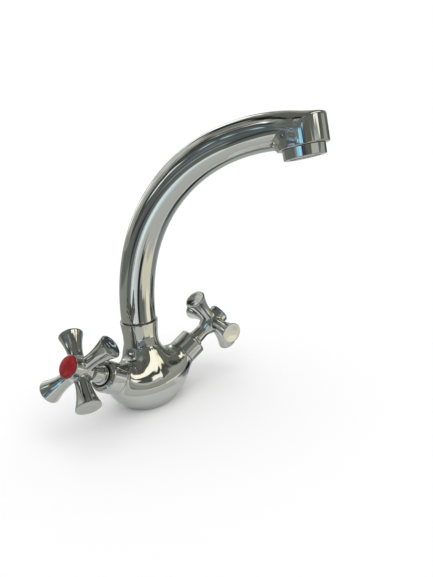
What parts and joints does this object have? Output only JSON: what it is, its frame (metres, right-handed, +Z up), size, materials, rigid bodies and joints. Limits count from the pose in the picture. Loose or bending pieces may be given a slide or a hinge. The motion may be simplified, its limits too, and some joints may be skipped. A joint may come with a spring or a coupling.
{
  "type": "basin mixer tap",
  "caption": "Basin mixer tap with a crescent body, a high arched spout that swivels and cross handles on slanted arms, each turning a ceramic disc valve",
  "frame": {"origin": "centre of the foot, on the deck", "axes": "+Z up the neck, -Y towards the user, -X towards the hot handle"},
  "size_m": [0.1717, 0.1685, 0.2115],
  "materials": {
    "chrome": "bright chrome plate on brass",
    "brass": "turned brass",
    "rubber": "moulded black rubber",
    "steel": "stainless steel",
    "disc_white": "lapped ceramic",
    "black_plastic": "black moulded ring",
    "white_plastic": "white acetal",
    "red_plastic": "glossy deep red cap",
    "blue_plastic": "glossy blue cap"
  },
  "bodies": {
    "root": {"body_casting": "chrome", "base_gasket": "rubber", "spout_lock_screw": "steel", "hot_headwork_body": "brass", "cold_headwork_body": "brass", "hot_headwork_washer": "rubber", "cold_headwork_washer": "rubber", "hot_seat_seal": "rubber", "cold_seat_seal": "rubber", "hot_fixed_disc": "disc_white", "cold_fixed_disc": "disc_white", "hot_sleeve": "chrome", "cold_sleeve": "chrome", "hot_mouth_ring": "black_plastic", "cold_mouth_ring": "black_plastic"},
    "spout": {"spout_tube": "chrome", "spout_tail": "brass", "tail_upper_oring": "rubber", "tail_lower_oring": "rubber", "spout_slide_ring": "white_plastic", "aerator_housing": "chrome", "aerator_insert": "white_plastic", "aerator_screens": "steel", "aerator_washer": "rubber"},
    "hot_handle": {"hot_cross_handle": "chrome", "hot_index_button": "red_plastic", "hot_handle_screw": "steel", "hot_spindle": "brass", "hot_spindle_orings": "rubber", "hot_spindle_clip": "steel", "hot_moving_disc": "disc_white"},
    "cold_handle": {"cold_cross_handle": "chrome", "cold_index_button": "blue_plastic", "cold_handle_screw": "steel", "cold_spindle": "brass", "cold_spindle_orings": "rubber", "cold_spindle_clip": "steel", "cold_moving_disc": "disc_white"}
  },
  "joints": [
    {"name": "spout_swivel", "type": "hinge", "parent": "root", "child": "spout", "pos_m": [0, 0, 0.07], "axis": [0, 0, 1], "continuous": true},
    {"name": "hot_turn", "type": "hinge", "parent": "root", "child": "hot_handle", "pos_m": [0, -0.003, 0.0096], "axis": [-0.7986, -0.191, 0.5707], "range_deg": [0, 90]},
    {"name": "cold_turn", "type": "hinge", "parent": "root", "child": "cold_handle", "pos_m": [0, -0.003, 0.0096], "axis": [0.7986, -0.191, 0.5707], "range_deg": [0, 90]}
  ]
}
